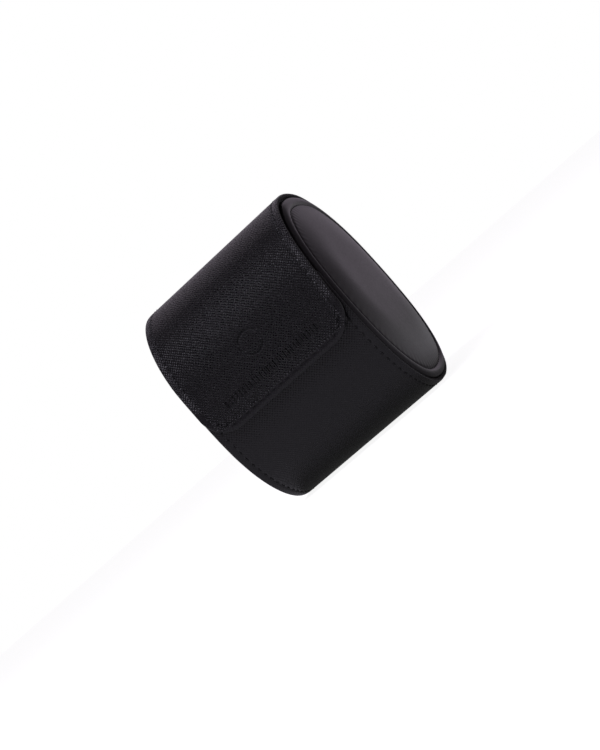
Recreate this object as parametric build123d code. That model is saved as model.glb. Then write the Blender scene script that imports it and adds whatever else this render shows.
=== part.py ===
from build123d import *
import os
from math import cos, degrees, radians, sin, sqrt, atan2

# A single-watch travel roll: a short leather drum that lies on its side.
# X runs along the drum, -Y is the front where the flap closes, +Z is up.
# The origin is the centre of the flat that the drum stands on.
# Angles go round the section from the front (0), over the top (90) to the back (180).
# An inset is measured inwards from the outer section of the drum.
# The flap's outer face is the drum's section grown by flap_rise and moved as far to the front,
# so it leaves the back of the drum flush and clears the front wall by flap_gap.

# --- drum section and length (mm) ---
case_diameter = 88.0
side_radius = 76.0
corner_radius = 36.0
wrap_length = 66.6
base_flat_depth = 0.3

# --- sheet thicknesses (mm) ---
leather = 0.7
board = 0.9
core = 1.2
suede = 0.5
flap_suede = 0.3
cushion_cloth = 0.8

# --- where the wrap, the lid and the flap's free end begin and stop (degrees) ---
front_edge_angle = 21.0
hinge_angle = 150.0
bend_angle = 47.0

# --- flap (mm) ---
flap_gap = 0.4
flap_side_setback = 0.5
flap_tip_drop = 8.5
flap_corner_radius = 10.8
hinge_gap = 0.2

# --- end discs (mm) ---
groove_depth = 2.0
disc_board = 4.5
disc_rim_height = 1.1
disc_rim_width = 2.2
disc_dome_height = 3.4
disc_dome_edge_height = 1.2
disc_edge_radius = 0.6

# --- stitching (mm) ---
stitch_inset = 2.7
thread_width = 0.5
thread_depth = 0.25
disc_thread_width = 0.6
disc_thread_height = 0.35

# --- closing magnets (mm) ---
magnet_diameter = 8.0
wall_magnet_thickness = 0.9
flap_magnet_thickness = 0.6
magnet_pocket_gap = 0.1
magnet_spacing = 36.0
magnet_height = 2.0

# --- watch cushion (mm) ---
cushion_width = 66.0
cushion_height = 46.0
cushion_length = 55.0
cushion_seat_gap = 0.3

# --- worked out from the values above ---
half_case = case_diameter / 2
half_wrap = wrap_length / 2
half_flap = half_wrap - flap_side_setback
axis_height = half_case - base_flat_depth
wrap_thickness = leather + board
disc_inset = wrap_thickness + core
lining_inset = disc_inset + suede
flap_thickness = leather + board + flap_suede
flap_rise = (flap_thickness + flap_gap) / 2
rim_face = half_wrap + disc_rim_height
board_face = rim_face - leather
board_back = board_face - disc_board
disc_back = board_back - suede
core_end = half_wrap - groove_depth
valley_inset = disc_inset + disc_rim_width
dome_inset = valley_inset + disc_thread_width
dome_top = half_wrap + disc_dome_height
far = 2 * case_diameter


def degrees_along(length):
    """The angle that an arc of this length takes up on the outer section."""
    return degrees(length / half_case)


def outline(inset, shift=0.0):
    """The drum's rounded-square section as eight tangent arcs, inset and moved to the front."""
    reach = side_radius - half_case
    span = side_radius - corner_radius
    offset = (-reach + sqrt(2 * span**2 - reach**2)) / 2
    tangent = degrees(atan2(offset, reach + offset))
    arcs = []
    for quarter in range(4):
        turn = 90 * quarter
        side_centre = Vector(-reach, 0).rotate(Axis.Z, turn) - Vector(shift, 0)
        corner_centre = Vector(offset, offset).rotate(Axis.Z, turn) - Vector(shift, 0)
        arcs.append(CenterArc(side_centre, side_radius - inset, turn - tangent, 2 * tangent))
        arcs.append(
            CenterArc(corner_centre, corner_radius - inset, turn + tangent, 90 - 2 * tangent)
        )
    return make_face(arcs)


def standing(inset):
    """The section with its underside flattened where the drum stands, inset all round."""
    ground = Pos(0, far / 2 - axis_height + inset) * Rectangle(far, far)
    return outline(inset) & ground


def wedge(start, stop):
    """A flat fan from the drum's axis between two angles."""
    steps = max(2, int((stop - start) / 45) + 1)
    rim = []
    for step in range(steps + 1):
        angle = radians(180 - (start + (stop - start) * step / steps))
        rim.append((far * cos(angle), far * sin(angle)))
    return make_face(Polyline((0, 0), *rim, close=True))


def prism(section, low, high):
    """A flat section in Y and Z, drawn out along X from low to high."""
    return extrude(Plane.YZ.offset(low) * section, amount=high - low)


def layer(outer, inner, half_length, start=None, stop=None, shift=0.0):
    """One layer of the wall between two insets, centred on the drum's length."""
    section = outline(outer, shift) - outline(inner, shift)
    if start is not None:
        section = section & wedge(start, stop)
    return prism(section, -half_length, half_length)


def mirrored(piece):
    """The same piece at both ends of the drum."""
    return piece + mirror(piece, about=Plane.YZ)


# --- wrap: one leather sheet over board, from the front edge under the drum to the hinge ---
wrap_start = hinge_angle - 360
wrap_stop = front_edge_angle
hinge_trim = degrees_along(hinge_gap / 2)


def wrap_thread():
    start = wrap_start + hinge_trim
    stop = wrap_stop - degrees_along(stitch_inset)
    line_in = half_wrap - stitch_inset
    line_out = line_in + thread_width
    ring = standing(0) - standing(thread_depth)
    side = prism(ring & wedge(start, stop), line_in, line_out)
    end_strip = ring & wedge(stop - degrees_along(thread_width), stop)
    return mirrored(side) + prism(end_strip, -line_out, line_out)


def wrap_board_sheet():
    turned = degrees_along(leather)
    return layer(
        leather,
        wrap_thickness,
        half_wrap - leather,
        wrap_start + hinge_trim,
        wrap_stop - turned,
    )


def wrap_leather_sheet():
    section = standing(0) - outline(wrap_thickness)
    section = section & wedge(wrap_start + hinge_trim, wrap_stop)
    return prism(section, -half_wrap, half_wrap) - wrap_board_sheet() - wrap_thread()


# --- closing magnets: flat discs let into the boards, facing each other through the cloth ---
def magnet_pair(diameter, thickness, inset, shift=0.0):
    """Two discs square to the front wall, in the layer whose middle lies at this inset."""
    arc_centre = side_radius - half_case - shift
    tilt = degrees(atan2(magnet_height, side_radius))
    disc = Pos(0, inset - side_radius, 0) * Rot(90, 0, 0) * Cylinder(diameter / 2, thickness)
    placed = Pos(magnet_spacing / 2, arc_centre, 0) * Rot(-tilt, 0, 0) * disc
    return mirrored(placed)


def wall_magnets(diameter=magnet_diameter, thickness=wall_magnet_thickness):
    return magnet_pair(diameter, thickness, wrap_thickness + core / 2)


def flap_magnets(diameter=magnet_diameter, thickness=flap_magnet_thickness):
    return magnet_pair(diameter, thickness, leather + board / 2 - flap_rise, flap_rise)


pocket_diameter = magnet_diameter + 2 * magnet_pocket_gap
pocket_depth = 2 * (core + board)


# --- tub: the stiff board under the wrap, and its suede lining ---
def core_layer():
    lip = degrees_along(suede)
    return layer(
        wrap_thickness,
        disc_inset,
        core_end,
        wrap_start + hinge_trim + lip,
        wrap_stop - lip,
    )


def core_tub():
    return core_layer() - wall_magnets(pocket_diameter, pocket_depth)


def tub_lining():
    sheet = layer(wrap_thickness, lining_inset, disc_back, wrap_start + hinge_trim, wrap_stop)
    return sheet - core_layer()


# --- end discs: a board plug with a padded leather face ---
def dome(depth):
    """The space under a shallow ball cap whose top is this far below the disc's top."""
    rise = disc_dome_height - disc_dome_edge_height
    reach = half_case - dome_inset
    radius = (reach**2 + rise**2) / (2 * rise)
    return Pos(dome_top - radius, 0, 0) * Sphere(radius - depth)


def disc_plug():
    return prism(outline(disc_inset + leather), board_back, board_face)


def disc_foam():
    return prism(outline(dome_inset + leather), board_face, dome_top) & dome(leather)


def disc_cover():
    """The leather face: a turned-down edge, a flat rim, a stitched valley and the dome."""
    cap = prism(outline(disc_inset), board_back, rim_face)
    cap = fillet(cap.faces().sort_by(Axis.X)[-1].edges(), disc_edge_radius)
    well = prism(outline(valley_inset), board_face, rim_face)
    valley = prism(outline(valley_inset), board_face, rim_face - disc_thread_height)
    pad = prism(outline(dome_inset), board_face, dome_top) & dome(0)
    foam = disc_foam()
    return (cap - well - disc_plug()) + (valley - foam) + (pad - foam)


def disc_thread():
    ring = outline(valley_inset) - outline(dome_inset)
    return prism(ring, rim_face - disc_thread_height, rim_face)


def disc_lining():
    return prism(outline(disc_inset), disc_back, board_back)


# --- flap: the lid over the opening and its free end, which hangs over the front wall ---
def flap_layer(depth_out, depth_in, setback, start, stop):
    """A layer of the flap between two depths below its outer face."""
    return layer(
        depth_out - flap_rise,
        depth_in - flap_rise,
        half_flap - setback,
        start,
        stop,
        flap_rise,
    )


def lid_layer(depth_out, depth_in, setback=0.0):
    return flap_layer(
        depth_out, depth_in, setback, bend_angle + hinge_trim, hinge_angle - hinge_trim
    )


def tongue_blank(inset):
    """The free end's shape seen from the front, drawn out through the front wall."""
    width = 2 * (half_flap - inset)
    height = case_diameter
    shape = Pos(0, height / 2 - flap_tip_drop + inset) * RectangleRounded(
        width, height, flap_corner_radius - inset
    )
    return extrude(Plane.XZ * shape, amount=far)


def tongue_layer(depth_out, depth_in, inset=0.0):
    sector = flap_layer(depth_out, depth_in, 0.0, bend_angle - 90, bend_angle - hinge_trim)
    return sector & tongue_blank(inset)


def lid_board():
    return lid_layer(leather, leather + board, leather)


def lid_thread():
    sheet = lid_layer(0, thread_depth, stitch_inset - thread_width)
    return sheet - lid_layer(0, thread_depth, stitch_inset)


def lid_leather():
    return lid_layer(0, leather + board) - lid_board() - lid_thread()


def lid_lining():
    return lid_layer(leather + board, flap_thickness, leather)


def tongue_board_sheet():
    return tongue_layer(leather, leather + board, leather)


def tongue_board():
    return tongue_board_sheet() - flap_magnets(pocket_diameter, pocket_depth)


def tongue_thread():
    return tongue_layer(0, thread_depth, stitch_inset - thread_width) - tongue_blank(stitch_inset)


def tongue_leather():
    return tongue_layer(0, leather + board) - tongue_board_sheet() - tongue_thread()


def tongue_lining():
    return tongue_layer(leather + board, flap_thickness, leather)


# --- watch cushion: a foam oval in a cloth sleeve, lying in the tub ---
cushion_axis = -(half_case - lining_inset) + cushion_seat_gap + cushion_height / 2


def cushion_oval(inset, low, high):
    oval = Ellipse(cushion_width / 2 - inset, cushion_height / 2 - inset)
    return prism(Pos(0, cushion_axis) * oval, low, high)


def cushion_foam():
    half = cushion_length / 2 - cushion_cloth
    return cushion_oval(cushion_cloth, -half, half)


def cushion_sleeve():
    half = cushion_length / 2 - cushion_cloth
    return cushion_oval(0, -half, half) - cushion_foam()


def cushion_end():
    return cushion_oval(0, cushion_length / 2 - cushion_cloth, cushion_length / 2)


# --- every piece by name ---
nodes = {
    "wrap_leather": wrap_leather_sheet(),
    "wrap_board": wrap_board_sheet(),
    "wrap_stitching": wrap_thread(),
    "core_tub": core_tub(),
    "tub_lining": tub_lining(),
    "wall_magnets": wall_magnets(),
    "lid_leather": lid_leather(),
    "lid_board": lid_board(),
    "lid_lining": lid_lining(),
    "lid_stitching": lid_thread(),
    "flap_end_leather": tongue_leather(),
    "flap_end_board": tongue_board(),
    "flap_end_lining": tongue_lining(),
    "flap_end_stitching": tongue_thread(),
    "flap_magnets": flap_magnets(),
    "cushion_foam": cushion_foam(),
    "cushion_sleeve": cushion_sleeve(),
}

end_pieces = {
    "disc_cover": disc_cover(),
    "disc_board": disc_plug(),
    "disc_foam": disc_foam(),
    "disc_stitching": disc_thread(),
    "disc_lining": disc_lining(),
    "cushion_end": cushion_end(),
}
for name, piece in end_pieces.items():
    nodes["right_" + name] = piece
    nodes["left_" + name] = mirror(piece, about=Plane.YZ)

os.makedirs("parts", exist_ok=True)
for name, piece in nodes.items():
    export_step(Pos(0, 0, axis_height) * piece, os.path.join("parts", name + ".step"))
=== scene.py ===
from math import asin, atan2, copysign, cos, degrees, exp, hypot, pi, radians, sin, sqrt

import bpy
import numpy as np
from mathutils import Matrix, Vector, noise
from mathutils.bvhtree import BVHTree


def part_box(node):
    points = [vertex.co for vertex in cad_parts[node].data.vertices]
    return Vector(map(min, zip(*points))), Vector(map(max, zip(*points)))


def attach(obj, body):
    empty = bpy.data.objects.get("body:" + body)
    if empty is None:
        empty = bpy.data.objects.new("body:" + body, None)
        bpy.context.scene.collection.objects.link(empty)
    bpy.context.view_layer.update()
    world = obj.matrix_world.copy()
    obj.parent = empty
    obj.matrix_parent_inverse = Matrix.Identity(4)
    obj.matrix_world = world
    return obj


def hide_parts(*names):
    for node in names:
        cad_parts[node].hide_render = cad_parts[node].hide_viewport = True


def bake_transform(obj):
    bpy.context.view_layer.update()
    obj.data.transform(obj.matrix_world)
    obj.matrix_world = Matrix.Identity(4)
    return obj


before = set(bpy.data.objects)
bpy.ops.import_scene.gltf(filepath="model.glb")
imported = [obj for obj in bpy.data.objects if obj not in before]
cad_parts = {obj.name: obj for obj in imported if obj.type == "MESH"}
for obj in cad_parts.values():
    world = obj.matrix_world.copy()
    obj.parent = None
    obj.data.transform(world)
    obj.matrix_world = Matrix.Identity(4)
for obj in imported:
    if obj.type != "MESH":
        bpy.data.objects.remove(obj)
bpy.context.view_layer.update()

MM = 0.001

# ---------------------------------------------------------------------------------------------
# Sizes in millimetres. Those that the CAD model also has are read from it or repeat its values.
# ---------------------------------------------------------------------------------------------
SIDE_RADIUS = 76.0
CORNER_RADIUS = 36.0
LEATHER = 0.7
BOARD = 0.9
FLAP_SUEDE = 0.3
FLAP_GAP = 0.4
FLAP_CORNER = 10.8
WALL_CORNER = 3.6
FRONT_EDGE_ANGLE = 21.0
HINGE_ANGLE = 150.0
BEND_ANGLE = 47.0
SEAM_ANGLE = 104.0
STITCH_INSET = 2.7
STITCH_PITCH = 3.2


def low(node):
    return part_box(node)[0] / MM


def high(node):
    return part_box(node)[1] / MM


HALF_CASE = high("wrap_leather").y
HALF_WRAP = high("wrap_leather").x
HALF_FLAP = high("lid_leather").x
AXIS_HEIGHT = HALF_CASE - LEATHER - BOARD + low("core_tub").z
SLAB = LEATHER + BOARD
FLAP_THICKNESS = SLAB + FLAP_SUEDE
FLAP_RISE = (FLAP_THICKNESS + FLAP_GAP) / 2
DISC_INSET = HALF_CASE - high("right_disc_cover").y
DISC_BACK = low("right_disc_cover").x
DISC_TOP = high("right_disc_cover").x - 0.45


# ---------------------------------------------------------------------------------------------
# The drum's section: eight tangent arcs, followed by arc length from the front upwards
# ---------------------------------------------------------------------------------------------
def section_arcs():
    """Each arc as centre, radius, first angle, turn; the angles go from the front over the top."""
    reach = SIDE_RADIUS - HALF_CASE
    span = SIDE_RADIUS - CORNER_RADIUS
    offset = (-reach + sqrt(2 * span**2 - reach**2)) / 2
    tangent = atan2(offset, reach + offset)
    arcs = []
    for quarter in range(4):
        turn = quarter * pi / 2
        ahead = (-cos(turn), sin(turn))
        aside = (sin(turn), cos(turn))
        side = (-reach * ahead[0], -reach * ahead[1])
        corner = (offset * (ahead[0] + aside[0]), offset * (ahead[1] + aside[1]))
        arcs.append((side, SIDE_RADIUS, turn - tangent, 2 * tangent))
        arcs.append((corner, CORNER_RADIUS, turn + tangent, pi / 2 - 2 * tangent))
    return arcs, tangent * SIDE_RADIUS


ARCS, FIRST_HALF = section_arcs()
PERIMETER = sum(radius * turn for _, radius, _, turn in ARCS)


def section_at(s):
    """Point and outward direction, as (y, z, ny, nz) about the drum's axis, at arc length s."""
    s = (s + FIRST_HALF) % PERIMETER
    for centre, radius, start, turn in ARCS:
        if s <= radius * turn + 1e-9:
            angle = start + s / radius
            ny, nz = -cos(angle), sin(angle)
            return centre[0] + radius * ny, centre[1] + radius * nz, ny, nz
        s -= radius * turn
    return section_at(0)


def length_at(angle):
    """Arc length from the front to the point at this angle, in degrees, about the axis."""
    low_s, high_s = angle * 0.7 - 40, angle * 0.9 + 40
    for _ in range(60):
        middle = (low_s + high_s) / 2
        y, z, _, _ = section_at(middle)
        found = degrees(atan2(z, -y))
        while found < angle - 180:
            found += 360
        while found > angle + 180:
            found -= 360
        if found < angle:
            low_s = middle
        else:
            high_s = middle
    return (low_s + high_s) / 2


def smooth(t):
    """0 below 0, 1 above 1, and an S-curve between."""
    t = min(1.0, max(0.0, t))
    return t * t * (3 - 2 * t)


FRONT_EDGE = length_at(FRONT_EDGE_ANGLE)
HINGE = length_at(HINGE_ANGLE)
BEND = length_at(BEND_ANGLE)
SEAM = length_at(SEAM_ANGLE)
FLAP_TIP = -8.5
LID_SPREAD = 0.45


def place(x, s, height, rise=0.0):
    """A point in millimetres: x along the drum, s round it, height off its skin."""
    y, z, ny, nz = section_at(s)
    y += ny * (height + rise) - rise
    z += nz * (height + rise)
    return Vector((x, y, z + AXIS_HEIGHT))


def drum_normal(s):
    _, _, ny, nz = section_at(s)
    return Vector((0, ny, nz))


# ---------------------------------------------------------------------------------------------
# Mesh helpers
# ---------------------------------------------------------------------------------------------
def make_mesh(name, points, faces, material, uvs=None, sharp=50, attributes=None):
    """An object from points in millimetres. uvs gives each point's (u, v) in metres."""
    mesh = bpy.data.meshes.new(name)
    mesh.from_pydata([tuple(c * MM for c in p) for p in points], [], faces)
    if uvs is not None:
        layer = mesh.uv_layers.new(name="grain")
        corners = np.empty(len(mesh.loops), np.int32)
        mesh.loops.foreach_get("vertex_index", corners)
        table = np.array(uvs, np.float32) * MM
        layer.data.foreach_set("uv", table[corners].ravel())
    for key, values in (attributes or {}).items():
        mesh.attributes.new(key, "FLOAT", "POINT").data.foreach_set(
            "value", np.array(values, np.float32)
        )
    mesh.validate()
    mesh.shade_smooth()
    if sharp:
        mesh.set_sharp_from_angle(angle=radians(sharp))
    mesh.materials.append(material)
    piece = bpy.data.objects.new(name, mesh)
    bpy.context.scene.collection.objects.link(piece)
    return piece


def strip_faces(rings, closed):
    """Quads between rings of point numbers; closed joins each ring's last point to its first."""
    faces = []
    for a, b in zip(rings, rings[1:]):
        count = len(a)
        for i in range(count if closed else count - 1):
            j = (i + 1) % count
            faces.append((a[i], a[j], b[j], b[i]))
    return faces


def spread(start, stop, step):
    """Evenly spaced values from start to stop, about step apart."""
    count = max(1, round(abs(stop - start) / step))
    return [start + (stop - start) * i / count for i in range(count + 1)]


def merged(*lists):
    """Sorted values of several lists, dropping those that nearly repeat."""
    values = sorted(v for values in lists for v in values)
    kept = values[:1]
    for value in values[1:]:
        if value - kept[-1] > 0.05:
            kept.append(value)
    return kept


# ---------------------------------------------------------------------------------------------
# Materials
# ---------------------------------------------------------------------------------------------
GRAIN_PITCH = 0.00088
GRAIN_DEPTH = 0.00028
GRAIN_SHARPNESS = 1.1
GRAIN_WANDER = 2.2


class Nodes:
    """Shorthand for building one node tree."""

    def __init__(self, name):
        self.material = bpy.data.materials.new(name)
        self.material.use_nodes = True
        self.tree = self.material.node_tree
        self.shader = self.tree.nodes["Principled BSDF"]

    def add(self, kind, **settings):
        node = self.tree.nodes.new("ShaderNode" + kind)
        for key, value in settings.items():
            setattr(node, key, value)
        return node

    def link(self, source, target):
        self.tree.links.new(source, target)

    def value(self, source, target):
        """A number, or another node's output, into a socket."""
        if isinstance(source, (int, float)):
            target.default_value = source
        else:
            self.link(source, target)

    def math(self, operation, a, b=0.0, c=0.0):
        node = self.add("Math", operation=operation)
        for source, socket in zip((a, b, c), node.inputs):
            self.value(source, socket)
        return node.outputs[0]

    def uv(self):
        node = self.add("UVMap", uv_map="grain")
        split = self.add("SeparateXYZ")
        self.link(node.outputs[0], split.inputs[0])
        return node.outputs[0], split.outputs[0], split.outputs[1]

    def attribute(self, name):
        return self.add("Attribute", attribute_name=name).outputs["Fac"]

    def noise(self, vector, scale, detail=2.0, roughness=0.5, distortion=0.0):
        node = self.add("TexNoise")
        node.inputs["Scale"].default_value = scale
        node.inputs["Detail"].default_value = detail
        node.inputs["Roughness"].default_value = roughness
        node.inputs["Distortion"].default_value = distortion
        if vector is not None:
            self.link(vector, node.inputs["Vector"])
        return node.outputs[0]

    def position(self):
        return self.add("TexCoord").outputs["Object"]

    def remap(self, source, from_low, from_high, to_low, to_high):
        node = self.add("MapRange")
        self.link(source, node.inputs[0])
        for socket, number in zip(node.inputs[1:5], (from_low, from_high, to_low, to_high)):
            socket.default_value = number
        return node.outputs[0]

    def mix(self, factor, a, b):
        node = self.add("Mix", data_type="RGBA")
        self.value(factor, node.inputs[0])
        for colour, socket in ((a, node.inputs[6]), (b, node.inputs[7])):
            if isinstance(colour, tuple):
                socket.default_value = (*colour, 1.0)
            else:
                self.link(colour, socket)
        return node.outputs[2]

    def bump(self, height, distance, strength=1.0, normal=None):
        node = self.add("Bump")
        node.inputs["Strength"].default_value = strength
        node.inputs["Distance"].default_value = distance
        self.link(height, node.inputs["Height"])
        if normal is not None:
            self.link(normal, node.inputs["Normal"])
        return node.outputs[0]

    def finish(self, colour, roughness, normal=None, **sockets):
        shader = self.shader
        if isinstance(colour, tuple):
            shader.inputs["Base Color"].default_value = (*colour, 1.0)
        else:
            self.link(colour, shader.inputs["Base Color"])
        self.value(roughness, shader.inputs["Roughness"])
        if normal is not None:
            self.link(normal, shader.inputs["Normal"])
        for key, number in sockets.items():
            shader.inputs[key.replace("_", " ")].default_value = number
        return self.material


def crossed_lines(n, vector, u, v):
    """Slopes along u and v of two crossed sets of ridges that wander a little."""
    wobble = n.math("MULTIPLY", n.math("SUBTRACT", n.noise(vector, 420.0, 2.0), 0.5), GRAIN_WANDER)
    slopes = []
    for sign in (1.0, -1.0):
        phase = n.math("ADD", u, n.math("MULTIPLY", v, sign))
        phase = n.math("MULTIPLY", phase, 2 * pi / (GRAIN_PITCH * sqrt(2)))
        phase = n.math("ADD", phase, wobble)
        ridge = n.math("MULTIPLY", n.math("ADD", n.math("COSINE", phase), 1.0), 0.5)
        ridge = n.math("POWER", ridge, GRAIN_SHARPNESS)
        slopes.append(n.math("MULTIPLY", ridge, n.math("SINE", phase)))
    return n.math("ADD", *slopes), n.math("SUBTRACT", *slopes)


def normal_from(n, along, across):
    """A tangent-space normal that leans by these slopes."""
    direction = n.add("CombineXYZ")
    n.link(n.math("ADD", n.math("MULTIPLY", along, 0.5), 0.5), direction.inputs[0])
    n.link(n.math("ADD", n.math("MULTIPLY", across, 0.5), 0.5), direction.inputs[1])
    direction.inputs[2].default_value = 1.0
    normal_map = n.add("NormalMap", uv_map="grain")
    n.link(direction.outputs[0], normal_map.inputs["Color"])
    return normal_map.outputs[0]


def grained_leather():
    """Cross-hatched leather: two crossed sets of stamped lines, broken up by a fine pebble.

    The mesh says how strong the grain is at each point (grain_amount), and where to darken and dull
    it: the stamped mark, and painted shade on the lower half of each edge and on the under face.
    """
    n = Nodes("grained_leather")
    vector, u, v = n.uv()
    patches = n.noise(vector, 450.0, 3.0)
    gain = n.remap(patches, 0.35, 0.65, 0.7, 1.3)
    gain = n.math("MULTIPLY", gain, GRAIN_DEPTH * 2 * pi / GRAIN_PITCH)
    gain = n.math("MULTIPLY", gain, n.attribute("grain_amount"))
    along, across = crossed_lines(n, vector, u, v)
    normal = normal_from(n, n.math("MULTIPLY", along, gain), n.math("MULTIPLY", across, gain))
    normal = n.bump(n.noise(vector, 2600.0, 2.0, 0.6), 0.00002, 0.6, normal)
    pressed_and_painted_shade = n.attribute("pressed_and_painted_shade")
    share = n.remap(patches, 0.35, 0.65, 0.0, 1.0)
    tint = n.mix(share, (0.0062, 0.0057, 0.0072), (0.0085, 0.0079, 0.0097))
    # Darker where the mark is stamped, and painted shade on the lower half of each edge and the
    # under face
    tint = n.mix(pressed_and_painted_shade, tint, (0.003, 0.0028, 0.0034))
    roughness = n.remap(n.noise(vector, 900.0, 2.0), 0.3, 0.7, 0.22, 0.34)
    roughness = n.math("ADD", roughness, n.math("MULTIPLY", pressed_and_painted_shade, 0.45))
    return n.finish(tint, roughness, normal, Specular_IOR_Level=0.5)


def smooth_leather():
    """The softer leather of the end pads, with a faint pebble and a few shallow creases."""
    n = Nodes("smooth_leather")
    spot = n.position()
    fine = n.noise(spot, 1500.0, 3.0, 0.6)
    broad = n.noise(spot, 70.0, 3.0)
    pebble = n.add("TexVoronoi", feature="SMOOTH_F1")
    pebble.inputs["Scale"].default_value = 1300.0
    pebble.inputs["Smoothness"].default_value = 0.6
    n.link(spot, pebble.inputs["Vector"])
    normal = n.bump(pebble.outputs["Distance"], 0.00003, 0.5)
    normal = n.bump(fine, 0.000015, 0.5, normal)
    normal = n.bump(broad, 0.0003, 0.15, normal)
    patches = n.remap(broad, 0.35, 0.65, 0.0, 1.0)
    tint = n.mix(patches, (0.016, 0.0145, 0.016), (0.02, 0.018, 0.0195))
    roughness = n.remap(fine, 0.3, 0.7, 0.3, 0.38)
    return n.finish(tint, roughness, normal, Specular_IOR_Level=0.36)


def thread_material():
    """Waxed black sewing thread with its twist."""
    n = Nodes("thread")
    vector, u, v = n.uv()
    twist = n.math("SINE", n.math("MULTIPLY", n.math("ADD", u, v), 2 * pi / 0.00035))
    normal = n.bump(twist, 0.00005, 0.8)
    return n.finish((0.011, 0.0105, 0.0115), 0.42, normal)


def suede(name, dark, light):
    """Short-napped microsuede with soft brushed patches."""
    n = Nodes(name)
    spot = n.position()
    nap = n.noise(spot, 2400.0, 3.0, 0.7)
    brushed = n.noise(spot, 55.0, 4.0, 0.55, 0.6)
    tint = n.mix(n.remap(brushed, 0.35, 0.65, 0.0, 1.0), dark, light)
    normal = n.bump(nap, 0.00006, 0.9)
    normal = n.bump(brushed, 0.0003, 0.2, normal)
    return n.finish(
        tint, 0.92, normal, Sheen_Weight=0.12, Sheen_Roughness=0.45, Specular_IOR_Level=0.2
    )


def fibre_board():
    """Black-dyed pressed board with short fibres."""
    n = Nodes("board")
    spot = n.position()
    fibres = n.noise(spot, 900.0, 4.0, 0.7, 1.5)
    streaks = n.remap(fibres, 0.3, 0.7, 0.0, 1.0)
    tint = n.mix(streaks, (0.012, 0.0115, 0.011), (0.028, 0.026, 0.024))
    return n.finish(tint, 0.85, n.bump(fibres, 0.00005, 0.7))


def foam_material():
    """Open-cell foam."""
    n = Nodes("foam")
    spot = n.position()
    cells = n.add("TexVoronoi", feature="F1")
    cells.inputs["Scale"].default_value = 1100.0
    n.link(spot, cells.inputs["Vector"])
    depth = n.remap(cells.outputs["Distance"], 0.1, 0.6, 0.0, 1.0)
    tint = n.mix(depth, (0.55, 0.54, 0.5), (0.35, 0.34, 0.31))
    return n.finish(tint, 0.9, n.bump(cells.outputs["Distance"], 0.0003, 0.8))


def magnet_material():
    """Nickel plating with faint concentric polish."""
    n = Nodes("magnet")
    scratches = n.noise(n.position(), 3000.0, 3.0, 0.6)
    roughness = n.remap(scratches, 0.3, 0.7, 0.22, 0.4)
    return n.finish((0.55, 0.54, 0.52), roughness, n.bump(scratches, 0.00001, 0.5), Metallic=1.0)


GRAINED = grained_leather()
SMOOTH = smooth_leather()
THREAD = thread_material()
LINING = suede("suede_lining", (0.022, 0.0215, 0.023), (0.034, 0.033, 0.035))
CUSHION = suede("cushion_suede", (0.019, 0.018, 0.019), (0.026, 0.025, 0.0265))
BOARD_MATERIAL = fibre_board()
FOAM = foam_material()
MAGNET = magnet_material()


# ---------------------------------------------------------------------------------------------
# Leather slabs: a sheet of the drum's skin with rolled edges, and a rounded free end
# ---------------------------------------------------------------------------------------------
def edge_profile(thickness, groove):
    """Points (distance in from the edge, height off the outer face) of an edge's two halves."""
    radius = min(0.5, thickness / 2)
    steps = 5
    outer = [(0.0, -thickness / 2)]
    for i in range(steps + 1):
        turn = pi / 2 * i / steps
        outer.append((radius * (1 - cos(turn)), radius * (sin(turn) - 1)))
    inner = [(d, -thickness - h) for d, h in outer[1:]]
    outer.append((1.3, 0.0))
    if groove:
        for offset, depth in ((-0.7, 0.0), (-0.35, 0.13), (0.0, 0.26), (0.35, 0.13), (0.8, 0.0)):
            outer.append((STITCH_INSET + offset, -depth))
        outer.append((4.2, 0.0))
    return outer, inner


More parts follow.
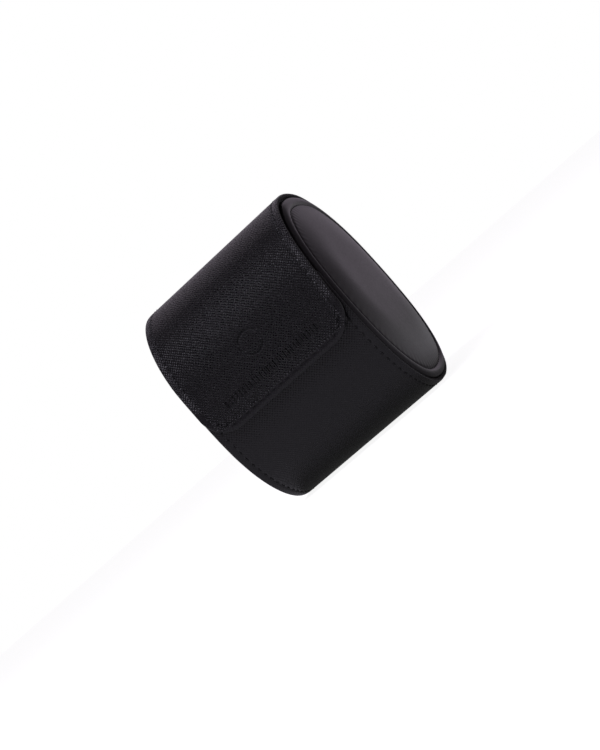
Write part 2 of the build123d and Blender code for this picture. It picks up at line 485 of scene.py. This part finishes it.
class Slab:
    """One sheet round part of the drum, with a plain cut at one end and a rounded free tip.

    relief presses a mark into its outer face, and belly swells its inner face.
    """

    def __init__(self, name, material, cut, tip, half_width, corner, rise, step=1.6):
        self.name, self.material = name, material
        self.cut, self.tip, self.half_width = cut, tip, half_width
        self.corner, self.rise, self.step = corner, rise, step
        self.toward = 1.0 if cut > tip else -1.0
        self.depth, self.thickness, self.inset = 0.0, SLAB, 0.0
        self.groove = True
        self.detail_rows, self.detail_columns = [], []
        self.relief = self.belly = None

    def width(self, s):
        return self.half_width(s) if callable(self.half_width) else self.half_width

    def lift(self, s):
        return self.rise(s) if callable(self.rise) else self.rise

    def rows(self):
        """Where the straight sides' rows lie, from the cut to the start of the corner."""
        stop = self.tip + self.toward * self.corner
        first, last = min(self.cut, stop), max(self.cut, stop)
        beside_cut = self.cut - self.toward * 0.12
        details = [r for r in self.detail_rows if first < r < last]
        values = merged(spread(self.cut, stop, self.step), [beside_cut], details)
        return values if self.toward < 0 else values[::-1]

    def turns(self, deepest):
        """Angles round the corner, with some on the detail rows of the innermost ring."""
        radius = max(self.corner - deepest, 0.04)
        centre = self.tip + self.toward * (deepest + radius)
        found = [pi / 2 * i / 12 for i in range(1, 13)]
        for row in self.detail_rows:
            share = (centre - row) * self.toward / radius
            if 0.02 < share < 0.98:
                found.append(asin(share))
        found.sort()
        kept = found[:1]
        for turn in found[1:]:
            if turn - kept[-1] > 0.012:
                kept.append(turn)
        kept[-1] = pi / 2
        return kept

    def outline(self, inset, rows, turns):
        """Points (x, s) of the right half of the boundary, this far in, from the cut to the tip."""
        inset += self.inset
        radius = max(self.corner - inset, 0.04)
        points = [(self.width(s) - inset, s) for s in rows]
        centre_x = self.width(self.tip) - inset - radius
        centre_s = self.tip + self.toward * (inset + radius)
        for turn in turns:
            x = centre_x + radius * cos(turn)
            points.append((x, centre_s - self.toward * radius * sin(turn)))
        return points

    def add(self, x, s, height):
        """One more point of the mesh, with what its material needs; returns its number."""
        mark_here = -self.relief(x, s) / MARK_DEPTH if self.relief else 0.0
        # Besides the stamped mark, points more than 0.3 mm below the outer face are darkened:
        # painted shade that draws a dark line under each edge
        self.pressed_and_painted_shade.append(max(mark_here, smooth((-height - 0.3) / 0.4)))
        if self.relief and height > -0.3:
            height += self.relief(x, s)
        if self.belly and height < -0.8 * self.thickness:
            height -= self.belly(x, s)
        self.points.append(place(x, s, height - self.depth, self.lift(s)))
        self.uvs.append((x, s))
        return len(self.points) - 1

    def full_ring(self, inset, height, rows, turns, columns, reach):
        """The boundary, this far in: up the right side, across the tip and down the left."""
        right = self.outline(inset, rows, turns)
        end = right[-1]
        ring = [self.add(x, s, height) for x, s in right]
        ring += [self.add(c * end[0] / reach, end[1], height) for c in columns]
        ring += [self.add(-x, s, height) for x, s in right[::-1]]
        return ring

    def fill(self, ring, inset, height, rows, turns, columns, reach):
        """The inside of a ring: lines of points that join its two sides, and its end."""
        side = self.outline(inset, rows, turns)
        right, left = ring[: len(side)], ring[-len(side) :][::-1]
        kept_straight = reach - 0.7
        lines = []
        for number, (x_right, s) in enumerate(side[:-1]):
            line = [right[number]]
            for c in columns:
                x = c
                if abs(c) > kept_straight and abs(x_right - reach) >= 1e-6:
                    share = (abs(c) - kept_straight) / (reach - kept_straight)
                    x = copysign(kept_straight + share * (x_right - kept_straight), c)
                line.append(self.add(x, s, height))
            lines.append([*line, left[number]])
        lines.append(ring[len(side) - 1 : len(ring) - len(side) + 1])
        return lines

    def build(self):
        outer, inner = edge_profile(self.thickness, self.groove)
        rows = self.rows()
        turns = self.turns(self.inset + outer[-1][0])
        reach = self.outline(outer[-1][0], rows, turns)[-1][0]
        half = merged(spread(0, reach, 2.2), self.detail_columns)
        half = [c for c in half if c < reach - 0.3]
        columns = half[::-1] + [-c for c in half if c > 0]
        layout = (rows, turns, columns, reach)
        self.points, self.uvs, self.pressed_and_painted_shade = [], [], []

        outer_rings = [self.full_ring(d, h, *layout) for d, h in outer]
        inner_rings = [self.full_ring(d, h, *layout) for d, h in inner]
        top = self.fill(outer_rings[-1], *outer[-1], *layout)
        under = self.fill(inner_rings[-1], *inner[-1], *layout)
        edge = strip_faces(inner_rings[::-1] + outer_rings, False)
        right_side = [r[0] for r in inner_rings[::-1]] + [r[0] for r in outer_rings]
        left_side = [r[-1] for r in outer_rings[::-1]] + [r[-1] for r in inner_rings]
        cut = tuple(right_side[:-1] + top[0] + left_side[1:] + under[0][::-1][1:-1])
        faces = edge + strip_faces(under, False)
        turned = strip_faces(top, False) + [cut]
        if self.toward < 0:
            faces, turned = turned, faces
        faces += [face[::-1] for face in turned]
        shading = {
            "grain_amount": [self.grain_amount(x, s) for x, s in self.uvs],
            "pressed_and_painted_shade": self.pressed_and_painted_shade,
        }
        return make_mesh(self.name, self.points, faces, self.material, self.uvs, 50, shading)

    def grain_amount(self, x, s):
        """Full grain within the stitching, smoother outside it, round the tip and in the mark."""
        from_tip = self.toward * (s - self.tip)
        inside = min(self.width(s) - abs(x), from_tip)
        edge = 0.06 + 0.38 * smooth((from_tip - 9) / 14)
        amount = edge + (1 - edge) * smooth((inside - STITCH_INSET - 0.1) / 0.9)
        if self.toward < 0:
            amount *= 1 - 0.85 * smooth((s - HINGE) / 100)
        if self.relief:
            amount *= 1 + 0.8 * self.relief(x, s) / MARK_DEPTH
        return amount

    def stitch_path(self):
        """The stitching's line as (x, s), from the cut round the free end and back."""
        right = self.outline(STITCH_INSET, self.rows(), self.turns(0.0))
        return right + [(-x, s) for x, s in right[::-1]]


def flap_width(s):
    """The flap's half-length: its free end is drawn in a little from the lid's."""
    return HALF_FLAP + LID_SPREAD * smooth((s - 2) / 18)


def lid_width(s):
    """The lid's half-length, easing to the wrap's over the hinge."""
    share = smooth((s - HINGE + 10) / 16)
    return HALF_FLAP + LID_SPREAD + (HALF_WRAP - HALF_FLAP - LID_SPREAD) * share


def lid_lift(s):
    """No rise on the drum's back, easing to the flap's rise over the hinge."""
    return FLAP_RISE * (1 - smooth((s - HINGE + 6) / 14))


MARK_DEPTH = 0.34
RING_AT = 11.0
RING_RADIUS = 4.3
RING_HALF_WIDTH = 0.4
ROW_AT = 0.2
DASH_PITCH = 1.6
DASH_HALF_WIDTH = 0.3
DASH_HALF_HEIGHT = 1.3
DASHES = 13  # on each side of the middle one


def mark(x, s):
    """The stamped mark, as a height: a plain ring, and a row of upright dashes below."""
    inside = -1.0
    reach = hypot(x, s - RING_AT)
    if reach < 5.2:
        inside = RING_HALF_WIDTH - abs(reach - RING_RADIUS)
    elif abs(s - ROW_AT) < 2.2 and abs(x) < (DASHES + 0.5) * DASH_PITCH:
        beside = abs(x - round(x / DASH_PITCH) * DASH_PITCH)
        inside = min(DASH_HALF_WIDTH - beside, DASH_HALF_HEIGHT - abs(s - ROW_AT))
    return -MARK_DEPTH * smooth((inside + 0.1) / 0.2)


def body_slab():
    """The sheet from the front wall's edge, under the drum and up over the hinge to the seam."""
    edge = FRONT_EDGE + PERIMETER
    return Slab("wrap_and_lid_leather", GRAINED, SEAM, edge, lid_width, WALL_CORNER, lid_lift)


def flap_slab():
    """The sheet from the seam over the front to the flap's tip, with the mark stamped into it."""
    slab = Slab("flap_leather", GRAINED, SEAM, FLAP_TIP, flap_width, FLAP_CORNER, FLAP_RISE)
    ring_rows = spread(RING_AT - 5.2, RING_AT + 5.2, 0.2)
    slab.detail_rows = merged(ring_rows, spread(ROW_AT - 2, ROW_AT + 2, 0.2))
    middles = [number * DASH_PITCH for number in range(DASHES + 1)]
    sides = [middle + offset for middle in middles for offset in (-0.4, -0.2, 0.2, 0.4)]
    slab.detail_columns = merged(spread(0, 5.2, 0.2), [x for x in sides if x > 0])
    slab.relief = mark
    return slab


PADDED_AT_BEND = 2.1
PADDED_ON_TOP = 1.3
PADDED_HALF_WIDTH = 27.4


def padding(x, s):
    """The lid's lining is padded between the discs, most of all at the bend."""
    deep = PADDED_AT_BEND * smooth((s - FRONT_EDGE - 4) / 7)
    deep -= (PADDED_AT_BEND - PADDED_ON_TOP) * smooth((s - BEND - 10) / 16)
    deep -= PADDED_ON_TOP * smooth((s - HINGE + 24) / 16)
    return deep * smooth((PADDED_HALF_WIDTH - abs(x)) / 2.6)


def lining_slab(name, like, tip):
    """The suede under a sheet of leather."""
    slab = Slab(name, LINING, like.cut, tip, like.half_width, like.corner, like.rise)
    slab.depth, slab.thickness, slab.inset = SLAB, FLAP_SUEDE, 0.75
    slab.groove, slab.belly = False, padding
    slab.detail_columns = [24.8, 25.6, 26.4, PADDED_HALF_WIDTH]
    return slab


def on_ground(piece):
    """The underside settles flat where the drum stands."""
    for vertex in piece.data.vertices:
        vertex.co.z = max(vertex.co.z, 0.0)
    return piece


# ---------------------------------------------------------------------------------------------
# Stitching: separate threads, each rising from one hole and going down the next
# ---------------------------------------------------------------------------------------------
THREAD_RADIUS = 0.26
STITCH_LENGTH = 2.35


def evenly_along(path, pitch, offset=0.5):
    """Points and directions of stitches that share a path's length evenly."""
    lengths = [0.0]
    for a, b in zip(path, path[1:]):
        lengths.append(lengths[-1] + (Vector(b) - Vector(a)).length)
    count = max(1, round(lengths[-1] / pitch))
    found, piece = [], 0
    for number in range(count):
        wanted = (number + offset) * lengths[-1] / count
        while piece < len(path) - 2 and lengths[piece + 1] < wanted:
            piece += 1
        a, b = Vector(path[piece]), Vector(path[piece + 1])
        share = (wanted - lengths[piece]) / max((b - a).length, 1e-9)
        found.append((a + (b - a) * share, (b - a).normalized()))
    return found


class Threads:
    """Gathers many stitches into one mesh."""

    def __init__(self):
        self.points, self.faces, self.uvs = [], [], []

    def add(self, middle, forward, outward, length=STITCH_LENGTH, radius=THREAD_RADIUS, sunk=0.1):
        beside = outward.cross(forward).normalized()
        rings = []
        for i in range(9):
            t = i / 8
            dip = radius * 2.4 * (abs(2 * t - 1) ** 3)
            thick = radius * (0.72 + 0.28 * sin(pi * t))
            core = middle + forward * (t - 0.5) * length - outward * (sunk + dip)
            ring = []
            for k in range(7):
                turn = 2 * pi * k / 7
                ring.append(len(self.points))
                across = beside * 1.15 * cos(turn) + outward * sin(turn)
                self.points.append(core + across * thick)
                self.uvs.append((t * length, turn * radius))
            rings.append(ring)
        self.faces += strip_faces(rings, True)
        self.faces += [tuple(rings[0][::-1]), tuple(rings[-1])]

    def mesh(self, name):
        return make_mesh(name, self.points, self.faces, THREAD, self.uvs, 60)


def stitched(slab, name):
    """The stitching of a slab, all along its stitch path."""
    threads = Threads()
    for middle, forward in evenly_along(slab.stitch_path(), STITCH_PITCH):
        x, s = middle
        ahead = place(x + forward[0], s + forward[1], 0, slab.lift(s + forward[1]))
        behind = place(x - forward[0], s - forward[1], 0, slab.lift(s - forward[1]))
        here = place(x, s, 0, slab.lift(s))
        threads.add(here, (ahead - behind).normalized(), drum_normal(s))
    piece = threads.mesh(name)
    return on_ground(piece)


def across_hinge(piece):
    """Bakes the piece's placing into its mesh; it adds no bend about the hinge."""
    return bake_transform(piece)


def across_bend(piece):
    """Bakes the piece's placing into its mesh; it adds no bend about the flap's joint."""
    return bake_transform(piece)


def add_leather():
    """Leather, stitching and lining: one sheet as far as the seam, and the flap beyond it."""
    body, flap = body_slab(), flap_slab()
    sheet = across_hinge(on_ground(body.build()))
    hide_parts("wrap_leather", "wrap_board", "lid_leather", "lid_board")
    thread = across_hinge(stitched(body, "wrap_and_lid_stitches"))
    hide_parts("wrap_stitching", "lid_stitching")
    suede_sheet = across_hinge(lining_slab("lid_suede", body, HINGE + 1.5).build())
    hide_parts("lid_lining")

    sheet = across_bend(flap.build())
    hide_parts("flap_end_leather", "flap_end_board")
    thread = across_bend(stitched(flap, "flap_stitches"))
    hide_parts("flap_end_stitching")
    suede_sheet = across_bend(lining_slab("flap_suede", flap, FLAP_TIP).build())
    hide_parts("flap_end_lining")


add_leather()

# ---------------------------------------------------------------------------------------------
# End pads: soft leather over foam, with a rolled rim, a stitched valley and a shallow dome
# ---------------------------------------------------------------------------------------------
# RIM_LINE gives the rim's section as (inset from the pad's edge, height over the rim's face)
RIM_FACE = HALF_WRAP + 1.1
BEAD_AT_BEND = 0.1
BEAD_UNDER_LID = 0.6
VALLEY_INSET = DISC_INSET + 2.5
VALLEY_FACE = HALF_WRAP + 0.55
DOME_INSET = DISC_INSET + 3.3
DOME_EDGE = HALF_WRAP + 1.0
RIM_LINE = (
    (0.0, -3.1),
    (-0.5, -2.75),
    (-0.85, -2.2),
    (-1.0, -1.6),
    (-0.95, -1.05),
    (-0.7, -0.6),
    (-0.3, -0.26),
    (0.2, -0.1),
    (0.65, -0.01),
    (1.1, 0.0),
    (1.5, -0.09),
    (1.85, -0.26),
    (2.15, -0.48),
    (2.4, -0.62),
    (2.62, -0.6),
    (2.85, -0.4),
    (3.08, -0.2),
)
PLATEAU = 18.0
DOME_SHARES = (
    *(1.0, 0.985, 0.965, 0.94, 0.91, 0.875, 0.84, 0.8, 0.76, 0.72),
    *(0.68, 0.64, 0.6, 0.54, 0.46, 0.36, 0.25, 0.13, 0.05),
)


def dome_face(share):
    """How far out the dome's face lies, from its edge (1) to its middle (0)."""
    inward = (1 - share) * (HALF_CASE - DOME_INSET)
    shoulder = 1 - min(inward / PLATEAU, 1.0)
    return DISC_TOP - 0.12 * share**2 - (DISC_TOP - 0.12 - DOME_EDGE) * shoulder**2


def bead_swell(s):
    """The rim's bead is fuller under the lid, but not at the bend, where the raised flap dips."""
    swell = BEAD_AT_BEND * smooth((s - BEND + 26) / 10)
    swell += (BEAD_UNDER_LID - BEAD_AT_BEND) * smooth((s - BEND - 9) / 10)
    return swell - BEAD_UNDER_LID * smooth((s - HINGE + 12) / 8)


def pad_ring(inset, share, face, count, bead=0.0):
    """Points round the pad at this inset, drawn in by share; bead is how far its rim bulges."""
    made = []
    for i in range(count):
        s = PERIMETER * i / count
        y, z, ny, nz = section_at(s)
        at = inset - bead * bead_swell(s)
        y, z = (y - at * ny) * share, (z - at * nz) * share
        made.append(Vector((face, y, z + AXIS_HEIGHT)))
    return made


def gathered(point, i, count, stitches, inset):
    """Fine pleats that run from each stitch up the dome, and a slight unevenness."""
    depth = inset - DOME_INSET
    strength = 0.06 * exp(-((depth / 1.8) ** 2)) * smooth((depth + 0.9) / 0.7)
    wander = noise.noise(point * 0.12) * 0.35
    wave = cos(2 * pi * stitches * i / count + wander * 4) * (0.7 + wander)
    broad = 0.09 * noise.noise(point * 0.055 + Vector((3, 1, 7))) * smooth(depth / 6)
    return point + Vector((strength * wave + broad, 0, 0))


def end_pad(side):
    """The right pad for side 1, its mirror image for side -1."""
    stitches = round(PERIMETER * 0.89 / STITCH_PITCH)
    count = stitches * 8
    rings = []
    back = DISC_BACK
    for face in (back, back + 1.6):
        rings.append(pad_ring(DISC_INSET, 1, face, count))

    def add_gathered(ring, inset):
        rings.append([gathered(p, i, count, stitches, inset) for i, p in enumerate(ring)])

    for step, face in RIM_LINE:
        ring = pad_ring(DISC_INSET + step, 1, RIM_FACE + face, count, max(0.0, -step))
        add_gathered(ring, DISC_INSET + step)
    for share in DOME_SHARES:
        ring = pad_ring(DOME_INSET, share, dome_face(share), count)
        add_gathered(ring, DOME_INSET + (1 - share) * (HALF_CASE - DOME_INSET))
    middle = Vector((dome_face(0), 0, AXIS_HEIGHT))
    under = []
    leather_in = DISC_INSET + LEATHER
    for share in (0.05, 0.3, 0.6, 0.85, 0.97):
        under.append(pad_ring(DOME_INSET, share, dome_face(share) - LEATHER, count))
    under.append(pad_ring(DOME_INSET + 0.4, 1, RIM_FACE - LEATHER, count))
    under.append(pad_ring(leather_in, 1, RIM_FACE - LEATHER, count))
    under.append(pad_ring(leather_in, 1, back, count))

    points = [p for ring in rings + under for p in ring]
    points += [middle, middle - Vector((LEATHER, 0, 0))]
    numbers = [list(range(k * count, (k + 1) * count)) for k in range(len(rings) + len(under))]
    outer, inner = numbers[: len(rings)], numbers[len(rings) :]
    faces = strip_faces(outer, True) + strip_faces(inner, True)
    faces += strip_faces([inner[-1], outer[0]], True)
    tip, hollow = len(points) - 2, len(points) - 1
    for i in range(count):
        faces.append((outer[-1][i], outer[-1][(i + 1) % count], tip))
        faces.append((inner[0][(i + 1) % count], inner[0][i], hollow))
    points = [Vector((side * p.x, p.y, p.z)) for p in points]
    if side < 0:
        faces = [face[::-1] for face in faces]
    name = ("right" if side > 0 else "left") + "_pad"
    return make_mesh(name, points, faces, SMOOTH, None, 60), stitches


def pad_thread(side, stitches):
    """The ring of stitches in the pad's valley."""
    threads = Threads()
    path = [tuple(p) for p in pad_ring(VALLEY_INSET, 1, VALLEY_FACE, stitches * 8)]
    path.append(path[0])
    for middle, forward in evenly_along(path, STITCH_PITCH * 0.94, 0.0):
        at = Vector((side * middle.x, middle.y, middle.z))
        threads.add(at, forward, Vector((side, 0, 0)), 2.2, 0.2, 0.0)
    name = ("right" if side > 0 else "left") + "_pad_stitches"
    return threads.mesh(name)


def add_pads():
    for side, word in ((1, "right"), (-1, "left")):
        pad, stitches = end_pad(side)
        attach(pad, "case")
        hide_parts(word + "_disc_cover")
        thread = pad_thread(side, stitches)
        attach(thread, "case")
        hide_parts(word + "_disc_stitching")


add_pads()

# ---------------------------------------------------------------------------------------------
# Watch cushion: a foam oval in a suede sleeve, puffed by a cloth simulation, with welted ends
# ---------------------------------------------------------------------------------------------
SLEEVE_LOW, SLEEVE_HIGH = low("cushion_sleeve"), high("cushion_sleeve")
CUSHION_HALF = high("right_cushion_end").x
CUSHION_AXIS = (SLEEVE_LOW + SLEEVE_HIGH) / 2
OVAL = (SLEEVE_HIGH - SLEEVE_LOW) / 2
WELT_AT = CUSHION_HALF - 3.2
CUSHION_CLOTH = 0.8


def cushion_form(margin):
    """A closed oval pillow, a little smaller than the space that it may fill."""
    count, rings = 96, []
    stations = [
        (0.02, 1.0), (0.3, 0.99), (0.6, 0.97), (0.82, 0.92), (0.94, 0.8), (1.0, 0.55),
    ]
    profile = [(share, -CUSHION_HALF + (1 - reach) * 3.2) for share, reach in stations]
    profile += [(1.0, x) for x in spread(-WELT_AT, WELT_AT, 3.0)]
    profile += [(share, -x) for share, x in profile[: len(stations)][::-1]]
    points, numbers = [], []
    for share, x in profile:
        waist = 1 - 0.02 * cos(pi * min(abs(x) / CUSHION_HALF, 1) / 2) ** 2
        ring = []
        for i in range(count):
            turn = 2 * pi * i / count
            y = (OVAL.y - margin) * share * waist * cos(turn)
            z = (OVAL.z - margin) * share * waist * sin(turn)
            ring.append(len(points))
            points.append(Vector((x, CUSHION_AXIS.y + y, CUSHION_AXIS.z + z)))
        numbers.append(ring)
    faces = strip_faces(numbers, True) + [tuple(numbers[0][::-1]), tuple(numbers[-1])]
    return make_mesh("cushion", points, [face[::-1] for face in faces], CUSHION, None, 0)


def remeshed(piece, voxel):
    """An even mesh of the same shape, as the simulation needs."""
    modifier = piece.modifiers.new("even", "REMESH")
    modifier.mode = "VOXEL"
    modifier.voxel_size = voxel
    return applied(piece)


def applied(piece):
    """The piece with its modifiers made real."""
    graph = bpy.context.evaluated_depsgraph_get()
    mesh = bpy.data.meshes.new_from_object(piece.evaluated_get(graph))
    piece.modifiers.clear()
    piece.data = mesh
    return piece


def puffed(piece, pressure, frames, most):
    """Inflates the piece as cloth; no point moves further than most, and the welts hold firm."""
    before = [v.co.copy() for v in piece.data.vertices]
    held = piece.vertex_groups.new(name="held")
    for vertex in piece.data.vertices:
        nearness = abs(abs(vertex.co.x) - WELT_AT * MM) / (2.6 * MM)
        if nearness < 1:
            held.add([vertex.index], 1 - 0.6 * nearness, "REPLACE")
    cloth = piece.modifiers.new("cloth", "CLOTH")
    cloth.settings.quality = 6
    cloth.settings.mass = 0.15
    cloth.settings.tension_stiffness = 12
    cloth.settings.compression_stiffness = 8
    cloth.settings.bending_stiffness = 0.4
    cloth.settings.use_pressure = True
    cloth.settings.uniform_pressure_force = pressure
    cloth.settings.vertex_group_mass = "held"
    cloth.settings.effector_weights.gravity = 0
    cloth.point_cache.frame_start, cloth.point_cache.frame_end = 1, frames
    scene = bpy.context.scene
    for number in range(1, frames + 1):
        scene.frame_set(number)
    applied(piece)
    for vertex, start in zip(piece.data.vertices, before):
        move = vertex.co - start
        if move.length > most:
            vertex.co = start + move * (most / move.length)
    scene.frame_set(1)
    piece.vertex_groups.clear()
    return piece


def kept_inside(piece, margin):
    """Draws back what swelled past the cushion's own oval, so that it clears the lining."""
    for vertex in piece.data.vertices:
        p = vertex.co / MM - CUSHION_AXIS
        reach = hypot(p.y / (OVAL.y - margin), p.z / (OVAL.z - margin))
        if reach > 1:
            p.y, p.z = p.y / reach, p.z / reach
        limit = CUSHION_HALF - margin
        p.x = min(max(p.x, -limit), limit)
        vertex.co = (p + CUSHION_AXIS) * MM
    return piece


def smoothed(piece):
    """One subdivision, made real."""
    modifier = piece.modifiers.new("round", "SUBSURF")
    modifier.levels = modifier.render_levels = 1
    applied(piece)
    piece.data.shade_smooth()
    return piece


def cushion_seams(piece):
    """A welt round each end, with a row of stitches just inside it, laid on the puffed sleeve."""
    tree = BVHTree.FromPolygons(
        [v.co / MM for v in piece.data.vertices], [tuple(p.vertices) for p in piece.data.polygons]
    )
    threads = Threads()
    points, faces, uvs = [], [], []
    for side in (-1, 1):
        count, rings = 160, []
        axis = Vector((side * WELT_AT, CUSHION_AXIS.y, CUSHION_AXIS.z))
        for i in range(count):
            turn = 2 * pi * i / count
            out = Vector((0, OVAL.y * cos(turn), OVAL.z * sin(turn))).normalized()
            hit, _, _, _ = tree.ray_cast(axis + out * 60, -out)
            centre = hit - out * 0.25
            ring = []
            for k in range(8):
                swing = 2 * pi * k / 8
                ring.append(len(points))
                points.append(centre + out * 0.55 * cos(swing) + Vector((0.55 * sin(swing), 0, 0)))
                uvs.append((i, k))
            rings.append(ring)
            if i % 2 == 0:
                along = Vector((0, -OVAL.y * sin(turn), OVAL.z * cos(turn))).normalized()
                beside = tree.ray_cast(axis - Vector((side * 1.6, 0, 0)) + out * 60, -out)[0]
                if beside:
                    threads.add(beside, along, out, 1.7, 0.17, 0.02)
        faces += strip_faces(rings + [rings[0]], True)
    welt = make_mesh("cushion_welts", points, faces, CUSHION, None, 0)
    return welt, threads.mesh("cushion_stitches")


def foam_within(sleeve):
    """The foam that fills the sleeve: the same shape, drawn in by the cloth's thickness."""
    mesh = sleeve.data.copy()
    inward = [vertex.normal.copy() for vertex in mesh.vertices]
    for vertex, normal in zip(mesh.vertices, inward):
        vertex.co -= normal * CUSHION_CLOTH * MM
    mesh.materials.clear()
    mesh.materials.append(FOAM)
    foam = bpy.data.objects.new("cushion_filling", mesh)
    bpy.context.scene.collection.objects.link(foam)
    return foam


def add_cushion():
    """Sleeve, filling, welts and stitches; all ride on the cushion's body."""
    piece = remeshed(cushion_form(0.9), 2.2 * MM)
    puffed(piece, 4.0, 20, 2.4 * MM)
    kept_inside(piece, 0.1)
    smoothed(piece)
    kept_inside(piece, 0.1)
    piece.data.materials.clear()
    piece.data.materials.append(CUSHION)
    foam = foam_within(piece)
    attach(foam, "cushion")
    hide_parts("cushion_foam")
    welt, thread = cushion_seams(piece)
    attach(piece, "cushion")
    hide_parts("cushion_sleeve", "left_cushion_end", "right_cushion_end")
    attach(welt, "cushion")
    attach(thread, "cushion")


add_cushion()

# ---------------------------------------------------------------------------------------------
# CAD nodes that stay get their materials
# ---------------------------------------------------------------------------------------------
KEPT = {
    "core_tub": BOARD_MATERIAL,
    "tub_lining": LINING,
    "wall_magnets": MAGNET,
    "flap_magnets": MAGNET,
}
for side in ("left", "right"):
    KEPT[side + "_disc_board"] = BOARD_MATERIAL
    KEPT[side + "_disc_foam"] = FOAM
    KEPT[side + "_disc_lining"] = LINING
for node, material in KEPT.items():
    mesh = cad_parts[node].data
    mesh.materials.clear()
    mesh.materials.append(material)

# ---------------------------------------------------------------------------------------------
# Floor, light and camera
# ---------------------------------------------------------------------------------------------
CAMERA_AZIMUTH = 16.27
CAMERA_ROLL = 41.38
CAMERA_DISTANCE = 518.1
CAMERA_BELOW_AIM = 11.35
SENSOR = 36.0
LENS = 66.9


def camera_axes():
    """The camera's right, up and back directions in the row frame."""
    azimuth, roll = radians(CAMERA_AZIMUTH), radians(CAMERA_ROLL)
    back = Vector((sin(azimuth), -cos(azimuth), 0))
    level = Vector((cos(azimuth), sin(azimuth), 0))
    right = level * cos(roll) - Vector((0, 0, 1)) * sin(roll)
    up = level * sin(roll) + Vector((0, 0, 1)) * cos(roll)
    return right, up, back


RIGHT, UP, BACK = camera_axes()
AXIS_CENTRE = Vector((0, 0, AXIS_HEIGHT)) * MM


def add_camera():
    data = bpy.data.cameras.new("camera")
    data.sensor_width = SENSOR
    data.lens = LENS
    data.clip_start, data.clip_end = 0.01, 50
    camera = bpy.data.objects.new("camera", data)
    bpy.context.scene.collection.objects.link(camera)
    spot = AXIS_CENTRE + BACK * CAMERA_DISTANCE * MM - UP * CAMERA_BELOW_AIM * MM
    turn = Matrix((RIGHT, UP, BACK)).transposed().to_4x4()
    camera.matrix_world = Matrix.Translation(spot) @ turn
    bpy.context.scene.camera = camera


def add_area(name, direction, distance, size, power, colour=(1, 1, 1)):
    """A soft box that faces the drum from this direction."""
    data = bpy.data.lights.new(name, "AREA")
    data.shape = "RECTANGLE"
    data.size, data.size_y = size
    data.energy = power
    data.color = colour
    light = bpy.data.objects.new(name, data)
    bpy.context.scene.collection.objects.link(light)
    direction = Vector(direction).normalized()
    light.location = AXIS_CENTRE + direction * distance
    light.rotation_mode = "QUATERNION"
    light.rotation_quaternion = direction.to_track_quat("Z", "Y")
    return light


def add_world():
    """White for the camera; the object sees a bright backdrop behind it and a dim room."""
    world = bpy.data.worlds.new("studio")
    bpy.context.scene.world = world
    world.use_nodes = True
    tree = world.node_tree
    tree.nodes.clear()
    output = tree.nodes.new("ShaderNodeOutputWorld")
    seen = tree.nodes.new("ShaderNodeBackground")
    seen.inputs[0].default_value = (1, 1, 1, 1)
    light = tree.nodes.new("ShaderNodeBackground")
    coordinate = tree.nodes.new("ShaderNodeTexCoord")
    dot = tree.nodes.new("ShaderNodeVectorMath")
    dot.operation = "DOT_PRODUCT"
    dot.inputs[1].default_value = (Vector((0, 0, 0.12)) - BACK).normalized()
    tree.links.new(coordinate.outputs["Generated"], dot.inputs[0])
    ramp = tree.nodes.new("ShaderNodeMapRange")
    ramp.interpolation_type = "SMOOTHSTEP"
    for socket, number in zip(ramp.inputs[1:5], (*BACKDROP_EDGE, ROOM_LIGHT, BACKDROP_LIGHT)):
        socket.default_value = number
    tree.links.new(dot.outputs["Value"], ramp.inputs[0])
    tree.links.new(ramp.outputs[0], light.inputs[1])
    light.inputs[0].default_value = ROOM_TINT
    path = tree.nodes.new("ShaderNodeLightPath")
    mix = tree.nodes.new("ShaderNodeMixShader")
    tree.links.new(path.outputs["Is Camera Ray"], mix.inputs[0])
    tree.links.new(light.outputs[0], mix.inputs[1])
    tree.links.new(seen.outputs[0], mix.inputs[2])
    tree.links.new(mix.outputs[0], output.inputs[0])


def add_floor():
    """A pale floor that is lit from behind the object, as the edge of a sweep is."""
    size = 3.0
    corners = [(-size, -size, 0), (size, -size, 0), (size, size, 0), (-size, size, 0)]
    mesh = bpy.data.meshes.new("floor")
    mesh.from_pydata(corners, [], [(0, 1, 2, 3)])
    floor = bpy.data.objects.new("floor", mesh)
    bpy.context.scene.collection.objects.link(floor)
    n = Nodes("floor")
    seen = n.add("LightPath").outputs["Is Camera Ray"]
    depth = n.add("SeparateXYZ")
    n.link(n.position(), depth.inputs[0])
    behind = n.remap(depth.outputs[1], 0.0, 0.12, FLOOR_NEAR, FLOOR_NEAR + FLOOR_BOUNCE)
    hidden = n.math("MULTIPLY", n.math("SUBTRACT", 1.0, seen), behind)
    glow = n.math("ADD", n.math("MULTIPLY", seen, FLOOR_GLOW), hidden)
    n.link(glow, n.shader.inputs["Emission Strength"])
    n.shader.inputs["Emission Color"].default_value = (1, 1, 1, 1)
    mesh.materials.append(n.finish((0.55, 0.55, 0.55), 0.95, Specular_IOR_Level=0.1))


# The backdrop fills directions whose dot product with its middle is past BACKDROP_EDGE
BACKDROP_EDGE = (0.79, 0.852)
ROOM_LIGHT = 0.1
BACKDROP_LIGHT = 0.45
ROOM_TINT = (1.0, 0.88, 1.03, 1.0)
FLOOR_GLOW = 0.9
FLOOR_BOUNCE = 0.12
FLOOR_NEAR = 0.07

add_world()
add_floor()
add_camera()
add_area("key", (-0.27, -0.5, 0.84), 0.7, (0.42, 0.42), 2.5, (0.97, 0.93, 1.08))
add_area("side", (0.95, -0.15, 0.25), 0.9, (0.25, 0.4), 0.03, (1.0, 0.93, 1.05))
bpy.context.scene.view_settings.view_transform = "Standard"
